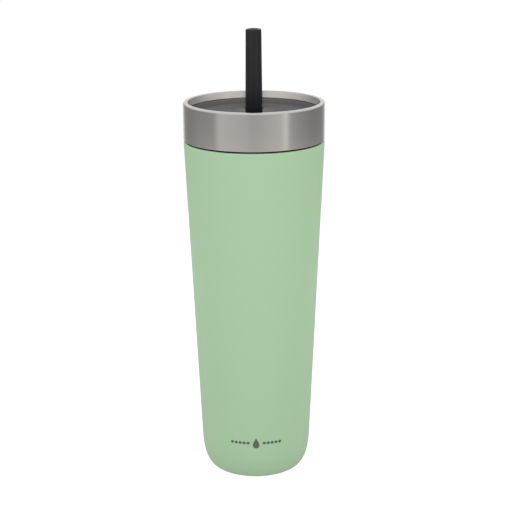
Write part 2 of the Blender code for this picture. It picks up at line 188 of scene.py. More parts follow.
def base_curve(floor, radial, rise, steps):
    """(radius lost, height) pairs along a soft base corner, a quarter of a superellipse."""
    found = []
    for step in range(steps + 1):
        angle = math.pi / 2 * step / steps
        across = math.sin(angle) ** (2 / BASE_CURVE_POWER)
        up = 1 - abs(math.cos(angle)) ** (2 / BASE_CURVE_POWER)
        found.append((radial * (1 - across), floor + rise * up))
    return found


def place(name, shape, finish):
    """A mesh object made from a bmesh, smooth except at real edges."""
    bmesh.ops.recalc_face_normals(shape, faces=shape.faces)
    mesh = bpy.data.meshes.new(name)
    shape.to_mesh(mesh)
    shape.free()
    mesh.shade_smooth()
    mesh.set_sharp_from_angle(angle=SMOOTH_ANGLE)
    mesh.materials.append(finish)
    piece = bpy.data.objects.new(name, mesh)
    bpy.context.scene.collection.objects.link(piece)
    return piece


def turned(name, outline, finish, segments=SEGMENTS, reshape=None, shift_y=0.0):
    """A turned piece from its section outline, whose ends meet unless both lie on the axis."""
    shape = bmesh.new()
    rings = []
    for radius, height in outline:
        count = segments if radius > 0 else 1
        ring = []
        for step in range(count):
            angle = 2 * math.pi * step / segments
            point = Vector((radius * math.cos(angle), radius * math.sin(angle), height))
            if reshape:
                point = reshape(point)
            ring.append(shape.verts.new((point.x, point.y + shift_y, point.z)))
        rings.append(ring)
    pairs = list(zip(rings, rings[1:]))
    if outline[0][0] > 0:
        pairs.append((rings[-1], rings[0]))
    for lower, upper in pairs:
        for step in range(segments):
            after = (step + 1) % segments
            corners = [lower[step % len(lower)], lower[after % len(lower)]]
            corners += [upper[after % len(upper)], upper[step % len(upper)]]
            shape.faces.new(list(dict.fromkeys(corners)))
    return place(name, shape, finish)


def thread_bump(point, foot_z, bump):
    """How far the thread ridge stands out at this point: each start climbs THREAD_LEAD a turn."""
    angle = math.atan2(point.y, point.x)
    tallest = 0.0
    for start in range(THREAD_STARTS):
        along = (angle - start * 2 * math.pi / THREAD_STARTS) % (2 * math.pi)
        if along > THREAD_TURN:
            continue
        centre = foot_z + along / (2 * math.pi) * THREAD_LEAD
        across = (point.z - centre) / (THREAD_WIDTH / 2)
        fade = min(1.0, along / THREAD_FADE, (THREAD_TURN - along) / THREAD_FADE)
        if abs(across) < 1:
            tallest = max(tallest, bump * fade * math.cos(across * math.pi / 2))
    return tallest


def threaded(wall_radius, foot_z, bump):
    """A reshape function that raises the thread on the wall of this radius: bump > 0 is outward."""
    def reshape(point):
        reach = math.hypot(point.x, point.y)
        if abs(reach - wall_radius) > GAP / 10:
            return point
        out = thread_bump(point, foot_z, abs(bump)) * math.copysign(1, bump)
        scale = (wall_radius + out) / wall_radius
        return Vector((point.x * scale, point.y * scale, point.z))
    return reshape


def thread_rows(radius, foot_z):
    """Points up a wall, close enough together to carry the thread."""
    climb = THREAD_TURN / (2 * math.pi) * THREAD_LEAD + THREAD_WIDTH
    count = math.ceil(climb / THREAD_ROW)
    low = foot_z - THREAD_WIDTH / 2
    return [(radius, low + climb * row / count) for row in range(count + 1)]


# ---------------------------------------------------------------- materials

class Finish:
    """A material and short ways to add nodes to it."""

    def __init__(self, name, colour, metallic, roughness, **sockets):
        self.made = bpy.data.materials.new(name)
        self.made.use_nodes = True
        self.made.diffuse_color = (*colour, 1)
        self.tree = self.made.node_tree
        self.shader = self.tree.nodes["Principled BSDF"]
        self.set(self.shader, "Base Color", (*colour, 1))
        self.set(self.shader, "Metallic", metallic)
        self.set(self.shader, "Roughness", roughness)
        for socket, value in sockets.items():
            self.set(self.shader, socket.replace("_", " "), value)

    def set(self, node, socket, value):
        node.inputs[socket].default_value = value

    def join(self, source, node, socket):
        self.tree.links.new(source, node.inputs[socket])

    def stretched(self, scale):
        """Object coordinates scaled along each axis, so that noise can be drawn out into lines."""
        coords = self.tree.nodes.new("ShaderNodeTexCoord")
        mapping = self.tree.nodes.new("ShaderNodeMapping")
        self.set(mapping, "Scale", scale)
        self.join(coords.outputs["Object"], mapping, "Vector")
        return mapping.outputs["Vector"]

    def noise(self, scale, detail=2.0, roughness=0.5):
        """Noise whose features are about 1/scale metres across, or (x, y, z) scales for lines."""
        node = self.tree.nodes.new("ShaderNodeTexNoise")
        along = scale if isinstance(scale, tuple) else (scale, scale, scale)
        self.join(self.stretched(along), node, "Vector")
        self.set(node, "Scale", 1.0)
        self.set(node, "Detail", detail)
        self.set(node, "Roughness", roughness)
        return node.outputs["Fac"]

    def ranged(self, source, low, high):
        """Noise around 0.5 spread over low to high."""
        node = self.tree.nodes.new("ShaderNodeMapRange")
        self.set(node, "From Min", 0.3)
        self.set(node, "From Max", 0.7)
        self.set(node, "To Min", low)
        self.set(node, "To Max", high)
        self.join(source, node, "Value")
        return node.outputs["Result"]

    def tint(self, source, dark, light):
        """The base colour runs from dark to light as source runs over its middle."""
        ramp = self.tree.nodes.new("ShaderNodeValToRGB")
        ramp.color_ramp.elements[0].position = 0.3
        ramp.color_ramp.elements[0].color = (*dark, 1)
        ramp.color_ramp.elements[1].position = 0.7
        ramp.color_ramp.elements[1].color = (*light, 1)
        self.join(source, ramp, "Fac")
        self.join(ramp.outputs["Color"], self.shader, "Base Color")

    def gloss(self, source, low, high):
        self.join(self.ranged(source, low, high), self.shader, "Roughness")

    def bumps(self, *layers):
        """Height layers of (source, strength, depth in metres), one on top of the other."""
        normal = None
        for source, strength, depth in layers:
            node = self.tree.nodes.new("ShaderNodeBump")
            self.set(node, "Strength", strength)
            self.set(node, "Distance", depth)
            self.join(source, node, "Height")
            if normal:
                self.join(normal, node, "Normal")
            normal = node.outputs["Normal"]
        self.join(normal, self.shader, "Normal")

    def brushed(self, turn):
        """The grain runs round the Z axis."""
        tangent = self.tree.nodes.new("ShaderNodeTangent")
        tangent.direction_type = "RADIAL"
        tangent.axis = "Z"
        self.join(tangent.outputs["Tangent"], self.shader, "Tangent")
        self.set(self.shader, "Anisotropic Rotation", turn)


def shades(colour, spread):
    """The colour a little darker and a little lighter."""
    return tuple(c * (1 - spread) for c in colour), tuple(c * (1 + spread) for c in colour)


SAGE = (0.440, 0.648, 0.408)
STEEL = (0.60, 0.575, 0.550)
PLASTIC = (0.009, 0.009, 0.0095)


def sage_paint():
    """Powder coat: faint orange peel, fine speckle and slow changes in gloss."""
    made = Finish("sage_powder_coat", SAGE, 0.0, 0.45, Specular_IOR_Level=0.45)
    peel = made.noise(750.0, 3.0)
    speckle = made.noise(5200.0, 1.0)
    made.tint(speckle, *shades(SAGE, 0.022))
    made.gloss(made.noise(38.0, 3.0), 0.42, 0.50)
    made.bumps((peel, 0.30, 0.00003), (speckle, 0.25, 0.00001))
    return made.made


def brushed_steel():
    """Steel brushed round its axis: long fine lines in height, gloss and tone."""
    made = Finish("brushed_steel", STEEL, 1.0, 0.23, Anisotropic=0.80)
    grain = made.noise((22.0, 22.0, 9000.0), 2.0, 0.6)
    bands = made.noise((9.0, 9.0, 2600.0), 2.0, 0.5)
    made.tint(bands, *shades(STEEL, 0.006))
    made.gloss(grain, 0.222, 0.238)
    made.bumps((grain, 0.03, 0.000002))
    made.brushed(0.25)
    return made.made


def turned_steel():
    """Bare drawn steel inside and under the vessel: faint turned lines, less even than the band."""
    colour = (0.62, 0.61, 0.60)
    made = Finish("bare_steel", colour, 1.0, 0.28, Anisotropic=0.45)
    lines = made.noise((14.0, 14.0, 2400.0), 2.0)
    made.tint(made.noise(60.0, 3.0), *shades(colour, 0.04))
    made.gloss(lines, 0.22, 0.34)
    made.bumps((lines, 0.30, 0.00002))
    made.brushed(0.25)
    return made.made


def lid_plastic():
    """Black moulded plastic, glossy, with a very fine grain."""
    made = Finish("black_lid_plastic", PLASTIC, 0.0, 0.14, Specular_IOR_Level=0.5)
    grain = made.noise(2600.0, 2.0)
    made.tint(made.noise(300.0, 2.0), *shades(PLASTIC, 0.10))
    made.gloss(made.noise(120.0, 3.0), 0.11, 0.17)
    made.bumps((grain, 0.06, 0.000004))
    return made.made


def plate_plastic():
    """The plate's polished black, with the faintest moulding ripple."""
    colour = (0.0045, 0.0045, 0.0055)
    made = Finish("black_plate_plastic", colour, 0.0, 0.12, Specular_IOR_Level=0.015)
    made.set(made.shader, "Specular Tint", (0.76, 0.75, 0.90, 1))
    made.tint(made.noise(300.0, 2.0), *shades(colour, 0.15))
    made.gloss(made.noise(120.0, 3.0), 0.10, 0.14)
    made.bumps((made.noise(420.0, 2.0), 0.05, 0.000004))
    return made.made


def straw_plastic():
    """The straw's plastic: satin, with faint lines drawn out along its length."""
    colour = (0.012, 0.012, 0.013)
    made = Finish("black_straw_plastic", colour, 0.0, 0.38, Specular_IOR_Level=0.4)
    lines = made.noise((1500.0, 1500.0, 60.0), 2.0)
    grain = made.noise(3000.0, 2.0)
    made.tint(made.noise(500.0, 2.0), *shades(colour, 0.08))
    made.gloss(lines, 0.34, 0.42)
    made.bumps((grain, 0.20, 0.00001), (lines, 0.15, 0.00001))
    return made.made


def silicone():
    """Black silicone rubber: matt, with a dusty bloom."""
    colour = (0.018, 0.018, 0.019)
    made = Finish("black_silicone", colour, 0.0, 0.62, Specular_IOR_Level=0.4)
    bloom = made.noise(220.0, 4.0, 0.6)
    grain = made.noise(4200.0, 2.0)
    made.tint(bloom, colour, tuple(c * 1.5 for c in colour))
    made.gloss(bloom, 0.55, 0.70)
    made.bumps((grain, 0.30, 0.00001))
    return made.made


def mark_finish():
    """The ground-back tone of the mark on the vessel's front."""
    colour = (0.105, 0.150, 0.105)
    made = Finish("etched_mark", colour, 0.0, 0.50)
    grain = made.noise(6000.0, 2.0)
    made.tint(grain, *shades(colour, 0.08))
    made.bumps((grain, 0.25, 0.00001))
    return made.made


def foil():
    colour = (0.80, 0.80, 0.81)
    made = Finish("crinkled_foil", colour, 1.0, 0.28)
    creases = made.noise(260.0, 5.0, 0.6)
    made.tint(creases, *shades(colour, 0.06))
    made.bumps((creases, 0.6, 0.00015))
    return made.made


def getter_metal():
    colour = (0.20, 0.20, 0.21)
    made = Finish("sintered_getter", colour, 0.6, 0.70)
    grain = made.noise(3500.0, 4.0, 0.7)
    made.tint(grain, *shades(colour, 0.15))
    made.bumps((grain, 0.6, 0.00004))
    return made.made


def glass_bead():
    colour = (0.16, 0.18, 0.17)
    made = Finish("sealing_glass", colour, 0.0, 0.12)
    swirl = made.noise(900.0, 3.0)
    made.tint(swirl, *shades(colour, 0.10))
    made.gloss(swirl, 0.08, 0.18)
    return made.made


# ---------------------------------------------------------------- vessel

def shell_radius(height):
    """Radius of the vessel's straight taper at this height."""
    shoulder_radius, _, rim = extent("outer_shell")
    return shoulder_radius - (rim - RIM_ROUND - height) * BODY_TAPER


def make_shell(finish):
    """The painted shell: rolled rim, tapered side, soft base and the lip turned up inside the foot."""
    shoulder_radius, floor, rim = extent("outer_shell")
    side = [
        (shell_radius(height) - lost, height)
        for lost, height in base_curve(floor, BASE_CURVE_RADIAL, BASE_CURVE_HEIGHT, 32)
    ]
    shoulder = (shoulder_radius, rim - RIM_ROUND)
    side += rows(side[-1], shoulder, 20) + [shoulder]
    centre = (shoulder_radius - RIM_ROUND, rim - RIM_ROUND)
    roll = arc(centre, RIM_ROUND, 0, 90, 12)[1:] + arc(centre, RIM_ROUND - SHELL_WALL, 90, 0, 6)[:-1]
    inside = offset(side, SHELL_WALL)
    inside[0] = (side[0][0], floor + SHELL_WALL)
    lip = [
        (FOOT_INNER_RADIUS + SHELL_WALL, floor + SHELL_WALL),
        (FOOT_INNER_RADIUS + SHELL_WALL, FOOT_LIP_HEIGHT),
        (FOOT_INNER_RADIUS, FOOT_LIP_HEIGHT),
    ]
    heel = arc((FOOT_INNER_RADIUS + SHELL_WALL, floor + SHELL_WALL), SHELL_WALL, 180, 270, 5)
    return turned("vessel_shell", side + roll + inside[::-1] + lip + heel, finish)


def liner_curve():
    """The liner's soft inner corner, from the edge of its flat floor up to its straight side."""
    floor = extent("liner_bottom")[1] + LINER_WALL
    corner = base_curve(floor, LINER_CURVE_RADIAL, LINER_CURVE_HEIGHT, 24)
    return [(shell_radius(height) - LINER_INSET - lost, height) for lost, height in corner]


def make_liner_bottom(finish):
    """The dished bottom welded into the liner."""
    low, weld = extent("liner_bottom")[1:]
    curve = liner_curve()
    inside = [(0.0, curve[0][1])] + [point for point in curve if point[1] < weld]
    outside = offset(inside, -LINER_WALL)
    outside[0] = (0.0, low)
    return turned("vessel_liner_bottom", inside + outside[::-1], finish)


def make_liner(finish):
    """The steel liner: tapered bowl, threaded neck, gasket ledge and the lip at the rim."""
    lip_outer, weld, lip_top = extent("inner_liner")
    neck_foot = (shell_radius(NECK_FOOT_Z) - LINER_INSET, NECK_FOOT_Z)
    side = [point for point in liner_curve() if point[1] > weld]
    side += rows(side[-1], neck_foot, 16) + [neck_foot]
    thread_z = PLUG_THREAD_Z + THREAD_LEAD / THREAD_STARTS / 2
    neck = [(MOUTH_RADIUS, NECK_Z)] + thread_rows(MOUTH_RADIUS, thread_z)
    lip = rounded([
        (MOUTH_RADIUS, NECK_Z, 0.0),
        (MOUTH_RADIUS, LEDGE_Z, 0.0004),
        (LIP_INNER_RADIUS, LEDGE_Z, 0.0003),
        (LIP_INNER_RADIUS, lip_top, 0.00025),
        (lip_outer, lip_top, 0.00025),
        (lip_outer, LEDGE_Z - LINER_WALL, 0.0002),
        (MOUTH_RADIUS + LINER_WALL, LEDGE_Z - LINER_WALL, 0.0002),
        (MOUTH_RADIUS + LINER_WALL, NECK_Z, 0.0),
    ], 4, closed=False)[1:]
    outside = offset(side, -LINER_WALL)
    return turned(
        "vessel_liner", side + neck + lip + outside[::-1], finish,
        reshape=threaded(MOUTH_RADIUS, thread_z, -MOUTH_THREAD_HEIGHT),
    )


def make_bottom_plate(finish):
    """The welded bottom with its rolled edge, stiffening step and dimpled port."""
    edge, low, _ = extent("shell_bottom")
    dimple = low + DIMPLE_RISE
    step = edge * BOTTOM_STEP_SHARE
    rim = edge - BOTTOM_RIM_WIDTH
    rise = BOTTOM_STEP_RISE
    corners = [
        (PORT_RADIUS, dimple, 0.0001),
        (DIMPLE_RADIUS - DIMPLE_RISE, dimple, 0.0006),
        (DIMPLE_RADIUS, low, 0.0006),
        (step, low, 0.0003),
        (step + rise, low + rise, 0.0003),
        (rim, low + rise, 0.0003),
        (rim + rise, low, 0.0003),
        (edge, low, 0.0002),
        (edge, low + SHELL_WALL, 0.0),
        (DIMPLE_RADIUS + SHELL_WALL / 2, low + SHELL_WALL, 0.0),
        (DIMPLE_RADIUS + SHELL_WALL / 2 - DIMPLE_RISE, dimple + SHELL_WALL, 0.0),
        (PORT_RADIUS, dimple + SHELL_WALL, 0.0),
    ]
    return turned("vessel_bottom_plate", rounded(corners, 4), finish)


def make_base_cover(finish):
    """The painted cover disc under the port, with a pressed ring."""
    edge, low, high = extent("base_disc")
    inner = edge * COVER_GROOVE_INNER_SHARE
    outer = edge * COVER_GROOVE_OUTER_SHARE
    groove = COVER_GROOVE_DEPTH
    corners = [
        (0.0, low, 0.0),
        (inner, low, 0.0003),
        (inner + groove, low + groove, 0.0002),
        (outer - groove, low + groove, 0.0002),
        (outer, low, 0.0003),
        (edge, low, 0.0003),
        (edge, high, 0.0001),
        (0.0, high, 0.0),
    ]
    return turned("base_cover_disc", rounded(corners, 5, closed=False), finish)


def extruded_patch(shape, outline, wrap, thickness):
    """Adds a thin closed slab to shape: wrap(u, v, out) puts a flat point on the surface."""
    top = [shape.verts.new(wrap(u, v, thickness)) for u, v in outline]
    low = [shape.verts.new(wrap(u, v, -thickness)) for u, v in outline]
    shape.faces.new(top)
    shape.faces.new(low[::-1])
    count = len(outline)
    for index in range(count):
        after = (index + 1) % count
        shape.faces.new([low[index], low[after], top[after], top[index]])


def pill(centre_u, centre_v, length, height, steps=10):
    """A flat bar with round ends."""
    reach = (length - height) / 2
    right = arc((centre_u + reach, centre_v), height / 2, -90, 90, steps)
    left = arc((centre_u - reach, centre_v), height / 2, 90, 270, steps)
    return right + left


DROP_STRETCH = 1.25
DROP_POINT = 1.4


def drop(centre_u, centre_v, radius, steps=28):
    """A water drop with its point upwards."""
    found = []
    for step in range(steps):
        angle = 2 * math.pi * step / steps
        narrow = math.sin(angle / 2) ** DROP_POINT
        across = radius * math.sin(angle) * narrow
        found.append((centre_u - across, centre_v + radius * DROP_STRETCH * math.cos(angle)))
    return found


MARK_Z = 0.0266
MARK_PROUD = 0.00003
MARK_DROP_RADIUS = 0.0029
MARK_DOTS = 5
MARK_FIRST_DOT = 0.0052
MARK_DOT_PITCH = 0.0026
MARK_DOT_LENGTH = 0.0022
MARK_DOT_HEIGHT = 0.0019


def make_front_mark(finish):
    """A small generic mark low on the front: a drop between two rows of dots."""
    def wrap(u, v, out):
        height = MARK_Z + v
        radius = shell_radius(height) + out
        angle = u / radius
        return (radius * math.sin(angle), -radius * math.cos(angle), height)

    shape = bmesh.new()
    for side in (-1, 1):
        for index in range(MARK_DOTS):
            along = side * (MARK_FIRST_DOT + index * MARK_DOT_PITCH)
            dot = pill(along, 0.0, MARK_DOT_LENGTH, MARK_DOT_HEIGHT)
            extruded_patch(shape, dot, wrap, MARK_PROUD)
    extruded_patch(shape, drop(0.0, 0.0, MARK_DROP_RADIUS), wrap, MARK_PROUD)
    return place("front_mark", shape, finish)


# ---------------------------------------------------------------- lid

def make_band(finish):
    """The steel band: straight outside, rolled over the top, then a cone down to a rounded lip."""
    radius, low, top = extent("lid_ring")
    bore = radius - RING_WALL
    roll = radius - RING_OUTER_ROUND
    slope = math.tan(RING_CONE_ANGLE)
    crest = roll - RING_FLAT - RING_INNER_ROUND * math.tan(RING_CONE_ANGLE / 2)
    cone_foot_z = RING_LIP_Z + RING_WALL
    cone_foot = crest - (top - cone_foot_z) / slope
    back_foot = cone_foot + RING_WALL * math.sin(RING_CONE_ANGLE)
    ceiling = top - RING_WALL
    corners = [
        (bore, low, 0.0001),
        (radius, low, 0.0003),
        (radius, top, RING_OUTER_ROUND),
        (crest, top, RING_INNER_ROUND),
        (cone_foot, cone_foot_z, 0.0006),
        (RING_LIP_RADIUS, cone_foot_z - 0.0003, 0.0002),
        (RING_LIP_RADIUS, RING_LIP_Z, 0.0001),
        (back_foot, RING_LIP_Z, 0.0),
        (back_foot, RING_LIP_Z + RING_WALL / 2, 0.0),
        (back_foot + (ceiling - RING_LIP_Z - RING_WALL / 2) / slope, ceiling, 0.0002),
        (bore, ceiling, 0.0006),
    ]
    return turned("lid_steel_band", rounded(corners, 12), finish, 256)


def make_plate(finish):
    """The recessed plate, trapped under the band's lip, with a soft step round the straw."""
    step, low, top = extent("lid_top")
    hole = extent("mouthpiece")[0] + GAP
    edge = RING_LIP_RADIUS - GAP
    corners = [
        (hole, low, 0.0002),
        (step, low, 0.0002),
        (step, RING_LIP_Z - GAP, 0.0001),
        (edge, RING_LIP_Z - GAP, 0.0),
        (edge, top, 0.0005),
        (hole, top, 0.0005),
    ]
    return turned("lid_plate", rounded(corners, 8), finish)


def make_plate_marks(finish):
    """Two raised arcs on the plate, either side of the straw, that show the drinking side."""
    top = extent("lid_top")[2]
    shape = bmesh.new()

    def wrap(u, v, out):
        return (u, v, top - MARK_PROUD + out)

    for start in PLATE_MARK_STARTS:
        end = start + PLATE_MARK_SPAN
        outer = arc((0, 0), PLATE_MARK_RADIUS + PLATE_MARK_WIDTH / 2, start, end, 24)
        inner = arc((0, 0), PLATE_MARK_RADIUS - PLATE_MARK_WIDTH / 2, end, start, 24)
        extruded_patch(shape, outer + inner, wrap, MARK_PROUD * 3)
    return place("plate_marks", shape, finish)


def make_housing(finish):
    """The lid's housing: threaded plug, flange over the rim, wall inside the band, straw chimney."""
    flange, low, top = extent("lid_base")
    flange_z = extent("outer_shell")[2] + GAP
    step, plate_low, _ = extent("lid_top")
    grommet_low = extent("straw_grommet")[1]
    ledge = plate_low - GAP
    floor_top = low + PLUG_WALL
    flange_top = flange_z + FLANGE_THICKNESS
    plug_bore = PLUG_RADIUS - PLUG_WALL
    seat = grommet_low - GAP
    groove = PLUG_GROOVE_DEPTH
    inner_start, inner_end = INNER_GROOVE
    outer_start, outer_end = OUTER_GROOVE
    corners = [
        (CHIMNEY_THROAT, low, 0.0004),
        (inner_start, low, 0.0002),
        (inner_start + groove, low + groove, 0.0002),
        (inner_end - groove, low + groove, 0.0002),
        (inner_end, low, 0.0002),
        (outer_start, low, 0.0003),
        (outer_start + groove, low + groove, 0.0003),
        (outer_end, low + groove, 0.0003),
        (outer_end + groove, low, 0.0003),
        (PLUG_RADIUS, low, PLUG_CHAMFER),
    ]
    foot = rounded(corners + [(PLUG_RADIUS, PLUG_THREAD_Z, 0.0)], 5, closed=False)[:-1]
    upper = rounded([
        (PLUG_RADIUS, PLUG_THREAD_Z, 0.0),
        (PLUG_RADIUS, flange_z, 0.0001),
        (flange, flange_z, 0.0003),
        (flange, top, 0.0003),
        (step + GAP, top, 0.0),
        (step + GAP, ledge, 0.0),
        (HOUSING_LEDGE_RADIUS, ledge, 0.0),
        (HOUSING_LEDGE_RADIUS, flange_top, 0.0),
        (plug_bore, flange_top, 0.0),
        (plug_bore, floor_top, 0.0006),
        (CHIMNEY_RADIUS, floor_top, 0.0006),
        (CHIMNEY_RADIUS, ledge, 0.0),
        (CHIMNEY_BORE, ledge, 0.0),
        (CHIMNEY_BORE, seat, 0.0),
        (CHIMNEY_THROAT, seat, 0.0003),
        (CHIMNEY_THROAT, low, 0.0),
    ], 5, closed=False)[1:-1]
    piece = turned(
        "lid_housing", foot + thread_rows(PLUG_RADIUS, PLUG_THREAD_Z) + upper, finish,
        reshape=threaded(PLUG_RADIUS, PLUG_THREAD_Z, PLUG_THREAD_HEIGHT),
    )
    drill_outline = [
        (0.0, low - PLUG_WALL),
        (VENT_HOLE_RADIUS, low - PLUG_WALL),
        (VENT_HOLE_RADIUS, floor_top + PLUG_WALL),
        (0.0, floor_top + PLUG_WALL),
    ]
    drill = turned("vent_drill", drill_outline, finish, 48, shift_y=vent_y())
    cut = piece.modifiers.new("vent_hole", "BOOLEAN")
    cut.operation = "DIFFERENCE"
    cut.solver = "EXACT"
    cut.object = drill
    bpy.context.view_layer.update()
    cut_mesh = bpy.data.meshes.new_from_object(piece.evaluated_get(bpy.context.evaluated_depsgraph_get()))
    piece.modifiers.clear()
    piece.data = cut_mesh
    bpy.data.objects.remove(drill)
    return piece


def vent_y():
    low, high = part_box("vent_valve")
    return (low.y + high.y) / 2


def make_valve(finish):
    """The umbrella valve: a domed flap under the plug and a barbed stem through it."""
    low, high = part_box("vent_valve")
    plug_foot = extent("lid_base")[1]
    flap = high.x
    stem = VENT_HOLE_RADIUS - GAP
    flap_top = plug_foot - GAP
    barb_low = plug_foot + PLUG_WALL + GAP
    corners = [
        (0.0, low.z, 0.0),
        (flap * VALVE_CROWN_SHARE, low.z + 0.0002, 0.0006),
        (flap, flap_top - 0.0003, 0.0001),
        (flap, flap_top, 0.0001),
        (stem, flap_top, 0.0001),
        (stem, barb_low, 0.0),
        (VENT_HOLE_RADIUS * VALVE_BARB_SHARE, barb_low, 0.0003),
        (stem, high.z, 0.0003),
        (0.0, high.z, 0.0),
    ]
    return turned("umbrella_valve", rounded(corners, 5, closed=False), finish, 64, shift_y=vent_y())


def make_gasket(finish):
    """The lid seal: a ring with three fins on its outer side and a flat face to the flange."""
    outer, low, high = extent("lid_gasket")
    inner = PLUG_RADIUS + GAP
    waist = outer - SEAL_FIN_DEPTH
    pitch = (high - low) / 5
    corners = [(inner, low, 0.0003), (outer - 0.0002, low, 0.0003)]
    for level in (1, 3):
        corners.append((outer, low + pitch * level - 0.0002, 0.0001))
        corners.append((waist, low + pitch * level + 0.0001, 0.0001))
        corners.append((waist, low + pitch * (level + 1) - 0.0001, 0.0001))
        corners.append((outer, low + pitch * (level + 1) + 0.0002, 0.0001))
    corners += [(outer - 0.0002, high, 0.0002), (inner, high, 0.0003)]
    return turned("lid_seal", rounded(corners, 3), finish)


def make_grommet(finish):
    """The straw bush, with three soft ribs in its bore."""
    outer, low, high = extent("straw_grommet")
    bore = extent("straw_tube")[0] + GAP
    relief = bore + BUSH_RELIEF
    corners = [(outer, low, 0.0003), (outer, high, 0.0003), (bore, high, 0.0004)]
    for share in BUSH_GROOVES:
        centre = low + (high - low) * share
        corners += [(bore, centre + 0.0012, 0.0002), (relief, centre + 0.0008, 0.0002)]
        corners += [(relief, centre - 0.0008, 0.0002), (bore, centre - 0.0012, 0.0002)]
    corners.append((bore, low, 0.0004))
    return turned("straw_bush", rounded(corners, 4), finish, SMALL_SEGMENTS)


# ---------------------------------------------------------------- straw

def make_mouthpiece(finish):
    """The tapered mouthpiece with a rounded lip and a socket in its foot for the tube."""
    radius, low, top = extent("mouthpiece")
    plate_z = extent("lid_top")[2]
    socket = extent("straw_tube")[0] + GAP
    corners = [
        (radius, low, 0.0003),
        (radius, plate_z, 0.0),
        (STRAW_TOP_RADIUS, top, STRAW_TOP_ROUND),
        (STRAW_BORE, top, 0.0003),
        (STRAW_BORE, STRAW_SOCKET_TOP_Z, 0.0),
        (socket, STRAW_SOCKET_TOP_Z, 0.0),
        (socket, low, 0.0002),
    ]
    return turned("straw_mouthpiece", rounded(corners, 8), finish, SMALL_SEGMENTS)


def make_tube(finish):
    """The plain tube below the mouthpiece, its cut end eased."""
    radius, low, top = extent("straw_tube")
    corners = [
        (radius, low, 0.0002),
        (radius, top, 0.0002),
        (STRAW_BORE, top, 0.0002),
        (STRAW_BORE, low, 0.0002),
    ]
    return turned("straw_lower_tube", rounded(corners, 4), finish, SMALL_SEGMENTS)


# ---------------------------------------------------------------- assembly

def dress(piece, body, slot, *nodes):
    """Puts a piece on its body and hides the CAD nodes that it stands for; the slot is not used."""
    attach(piece, body)
    if nodes:
        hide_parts(*nodes)


def refinish(node, finish):
    """A CAD node keeps its shape and gets a better material."""
    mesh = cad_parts[node].data
    mesh.materials.clear()
    mesh.materials.append(finish)


def make_object():
    paint, bare, plastic, rubber = sage_paint(), turned_steel(), lid_plastic(), silicone()
    straw = straw_plastic()
    dress(make_shell(paint), "vessel", "sage_paint", "outer_shell")
    dress(make_liner(bare), "vessel", "bare_steel", "inner_liner")
    dress(make_liner_bottom(bare), "vessel", "bare_steel", "liner_bottom")
    dress(make_bottom_plate(bare), "vessel", "bare_steel", "shell_bottom")
    dress(make_base_cover(paint), "vessel", "sage_paint", "base_disc")
    dress(make_front_mark(mark_finish()), "vessel", "sage_paint")
    dress(make_gasket(rubber), "gasket", "silicone", "lid_gasket")
    dress(make_grommet(rubber), "grommet", "silicone", "straw_grommet")
    dress(make_band(brushed_steel()), "lid", "band_steel", "lid_ring")
    plate = plate_plastic()
    dress(make_plate(plate), "lid", "lid_plastic", "lid_top")
    dress(make_plate_marks(plate), "lid", "lid_plastic")
    dress(make_housing(plastic), "lid", "lid_plastic", "lid_base")
    dress(make_valve(rubber), "lid", "silicone", "vent_valve")
    dress(make_mouthpiece(straw), "straw", "straw_plastic", "mouthpiece")
    dress(make_tube(straw), "straw", "straw_plastic", "straw_tube")
    refinish("liner_foil", foil())
    refinish("getter_holder", bare)
    refinish("getter", getter_metal())
    refinish("vacuum_plug", glass_bead())


# ---------------------------------------------------------------- studio

FLOOR_RADIUS = 0.7
FLOOR_DROP = 0.00005

# Brightness of the surroundings round the horizon: degrees from the front, positive to the right
HORIZON = (
    (-180, 0.85), (-160, 0.75), (-150, 0.32), (-125, 0.27), (-100, 0.31), (-75, 0.32), (-67, 0.33),
    (-61, 0.59), (-54, 0.66), (-46, 0.60), (-20, 0.56), (0, 0.44), (20, 0.53), (40, 0.61),
    (46, 0.68), (50, 0.88), (55, 0.84), (59, 0.42), (75, 0.32), (90, 0.28), (110, 0.24),
    (130, 0.28), (150, 0.32), (160, 0.78), (180, 0.85),
)

# Brightness above the horizon, and the heights (sines of the elevation) over which it changes
SKY_LIGHT = 0.92
SKY_FADE = (0.08, 0.36)
CEILING_LIGHT = 0.96
CEILING_FADE = (0.50, 0.95)

# The light that the floor gives off near the object and far from it, and the distances between; the
# dimmer glow near the object is a painted shadow of the object on the floor
FLOOR_PAINTED_SHADOW_GLOW = 0.54
FLOOR_FAR = 0.80
FLOOR_FADE = (0.04, 0.45)

# How the floor looks to the camera
FLOOR_SEEN_GREY = 0.25
FLOOR_SEEN_GLOW = 0.9

# Two soft boxes in front, hidden from reflections: (degrees from the front, height, watts)
SOFT_BOXES = ((-52, 0.55, 2.3), (52, 0.55, 2.3))
SOFT_BOX_DISTANCE = 1.1
SOFT_BOX_SIZE = 0.7
SOFT_BOX_AIM = Vector((0, 0, 0.12))


def light_fork(tree, seen, unseen, target):
    """seen where the camera looks straight at it, unseen for everything that it lights."""
    path = tree.nodes.new("ShaderNodeLightPath")
    mix = tree.nodes.new("ShaderNodeMixShader")
    tree.links.new(path.outputs["Is Camera Ray"], mix.inputs["Fac"])
    tree.links.new(unseen, mix.inputs[1])
    tree.links.new(seen, mix.inputs[2])
    tree.links.new(mix.outputs["Shader"], target)


def math_node(tree, operation, first, second):
    node = tree.nodes.new("ShaderNodeMath")
    node.operation = operation
    for index, value in enumerate((first, second)):
        if isinstance(value, (int, float)):
            node.inputs[index].default_value = value
        else:
            tree.links.new(value, node.inputs[index])
    return node.outputs["Value"]


def sloped(tree, source, limits, levels):
    """The source eased from the first level to the second as it runs between its limits."""
    node = tree.nodes.new("ShaderNodeMapRange")
    node.interpolation_type = "SMOOTHSTEP"
    node.inputs["From Min"].default_value, node.inputs["From Max"].default_value = limits
    node.inputs["To Min"].default_value, node.inputs["To Max"].default_value = levels
    tree.links.new(source, node.inputs["Value"])
    return node.outputs["Result"]


